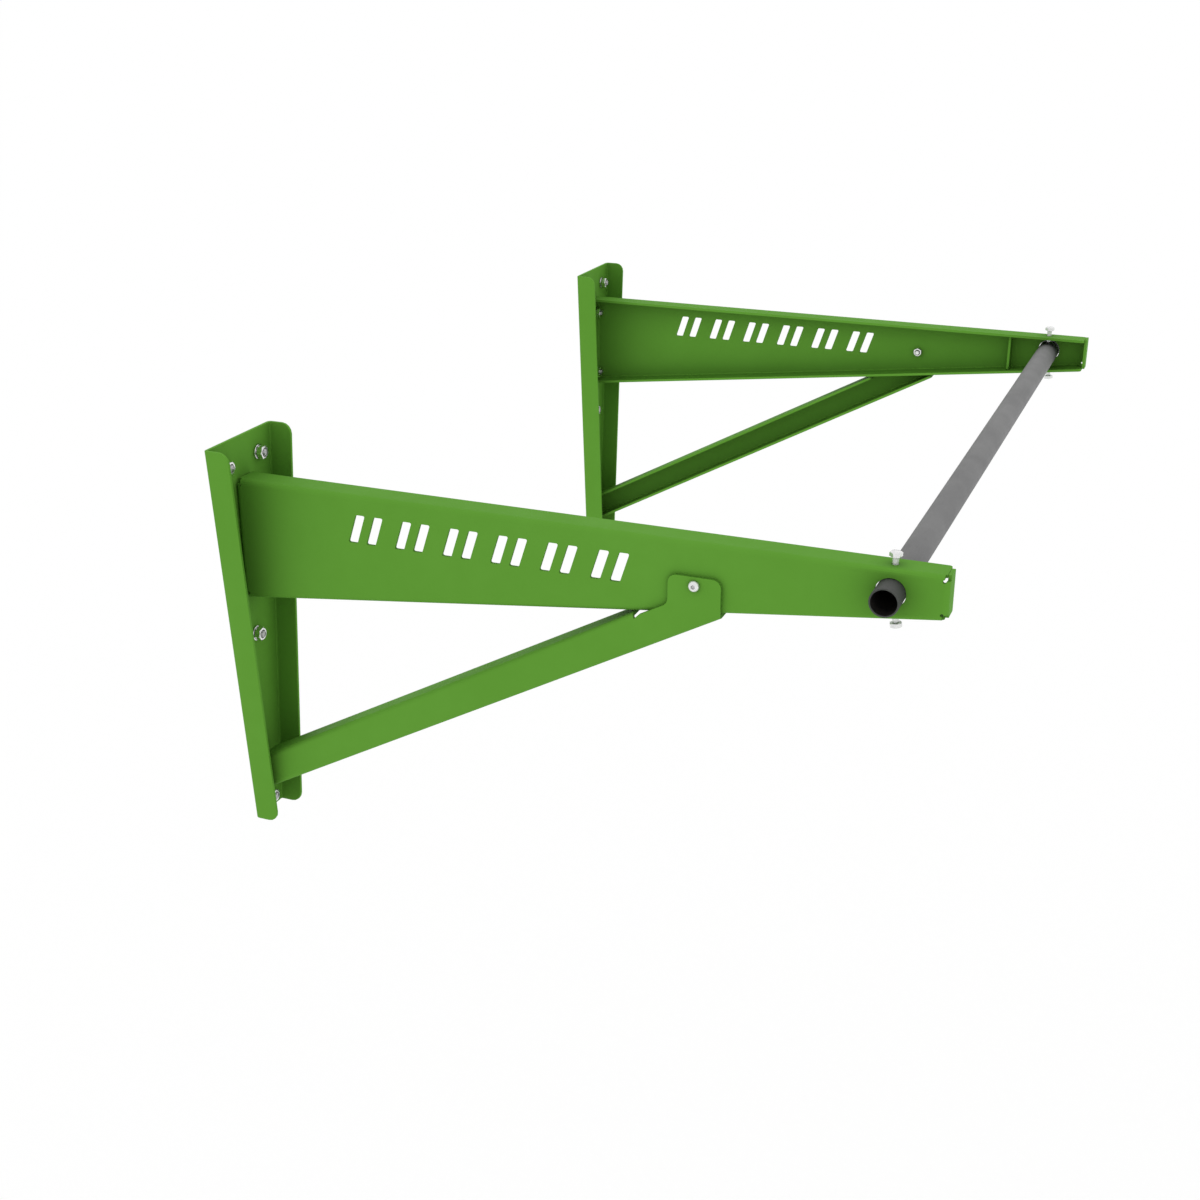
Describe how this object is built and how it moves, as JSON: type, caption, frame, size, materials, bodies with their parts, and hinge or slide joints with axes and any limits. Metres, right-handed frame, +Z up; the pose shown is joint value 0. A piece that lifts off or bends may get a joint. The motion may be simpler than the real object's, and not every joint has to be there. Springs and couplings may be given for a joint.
{
  "type": "pull up bar",
  "caption": "Wall-mounted pull up bar: two folded sheet-metal brackets with sloping braces carry a round steel tube clamped between them",
  "frame": {"origin": "On the left wall channel's back face, on that channel's centre line, midway in height between the two wall fixings inside the arm", "axes": "+X along the tube from the left bracket to the right one, +Y into the wall, +Z up; the wall is the plane Y = 0 and the arms reach out towards -Y"},
  "size_m": [1.319, 0.904, 0.5303],
  "materials": {
    "green_sheet": "satin powder coat",
    "grey_tube": "fine textured grey coat",
    "zinc_fastener": "bright zinc plate"
  },
  "bodies": {
    "brackets": {"left_wall_channel": "green_sheet", "left_arm": "green_sheet", "left_arm_rib": "green_sheet", "left_brace": "green_sheet", "left_brace_screw": "zinc_fastener", "left_brace_nut": "zinc_fastener", "left_top_outer_stud": "zinc_fastener", "left_top_outer_washer": "zinc_fastener", "left_top_outer_nut": "zinc_fastener", "left_top_inner_stud": "zinc_fastener", "left_top_inner_washer": "zinc_fastener", "left_top_inner_nut": "zinc_fastener", "left_arm_upper_stud": "zinc_fastener", "left_arm_upper_washer": "zinc_fastener", "left_arm_upper_nut": "zinc_fastener", "left_arm_lower_stud": "zinc_fastener", "left_arm_lower_washer": "zinc_fastener", "left_arm_lower_nut": "zinc_fastener", "left_middle_stud": "zinc_fastener", "left_middle_washer": "zinc_fastener", "left_middle_nut": "zinc_fastener", "left_foot_stud": "zinc_fastener", "left_foot_washer": "zinc_fastener", "left_foot_nut": "zinc_fastener", "left_bottom_stud": "zinc_fastener", "left_bottom_washer": "zinc_fastener", "left_bottom_nut": "zinc_fastener", "right_wall_channel": "green_sheet", "right_arm": "green_sheet", "right_arm_rib": "green_sheet", "right_brace": "green_sheet", "right_brace_screw": "zinc_fastener", "right_brace_nut": "zinc_fastener", "right_top_outer_stud": "zinc_fastener", "right_top_outer_washer": "zinc_fastener", "right_top_outer_nut": "zinc_fastener", "right_top_inner_stud": "zinc_fastener", "right_top_inner_washer": "zinc_fastener", "right_top_inner_nut": "zinc_fastener", "right_arm_upper_stud": "zinc_fastener", "right_arm_upper_washer": "zinc_fastener", "right_arm_upper_nut": "zinc_fastener", "right_arm_lower_stud": "zinc_fastener", "right_arm_lower_washer": "zinc_fastener", "right_arm_lower_nut": "zinc_fastener", "right_middle_stud": "zinc_fastener", "right_middle_washer": "zinc_fastener", "right_middle_nut": "zinc_fastener", "right_foot_stud": "zinc_fastener", "right_foot_washer": "zinc_fastener", "right_foot_nut": "zinc_fastener", "right_bottom_stud": "zinc_fastener", "right_bottom_washer": "zinc_fastener", "right_bottom_nut": "zinc_fastener"},
    "bar": {"bar": "grey_tube"},
    "left_top_set_bolt": {"left_top_set_bolt": "zinc_fastener"},
    "left_bottom_set_bolt": {"left_bottom_set_bolt": "zinc_fastener"},
    "right_top_set_bolt": {"right_top_set_bolt": "zinc_fastener"},
    "right_bottom_set_bolt": {"right_bottom_set_bolt": "zinc_fastener"}
  },
  "joints": [
    {"name": "bar_slide", "type": "slide", "parent": "brackets", "child": "bar", "axis": [1, 0, 0], "range_m": [-0.03, 0.03]},
    {"name": "left_top_set_bolt_travel", "type": "slide", "parent": "brackets", "child": "left_top_set_bolt", "axis": [0, 0, 1], "range_m": [0, 0.008]},
    {"name": "left_bottom_set_bolt_travel", "type": "slide", "parent": "brackets", "child": "left_bottom_set_bolt", "axis": [0, -0.1197, -0.9928], "range_m": [0, 0.008]},
    {"name": "right_top_set_bolt_travel", "type": "slide", "parent": "brackets", "child": "right_top_set_bolt", "axis": [0, 0, 1], "range_m": [0, 0.008]},
    {"name": "right_bottom_set_bolt_travel", "type": "slide", "parent": "brackets", "child": "right_bottom_set_bolt", "axis": [0, -0.1197, -0.9928], "range_m": [0, 0.008]}
  ]
}
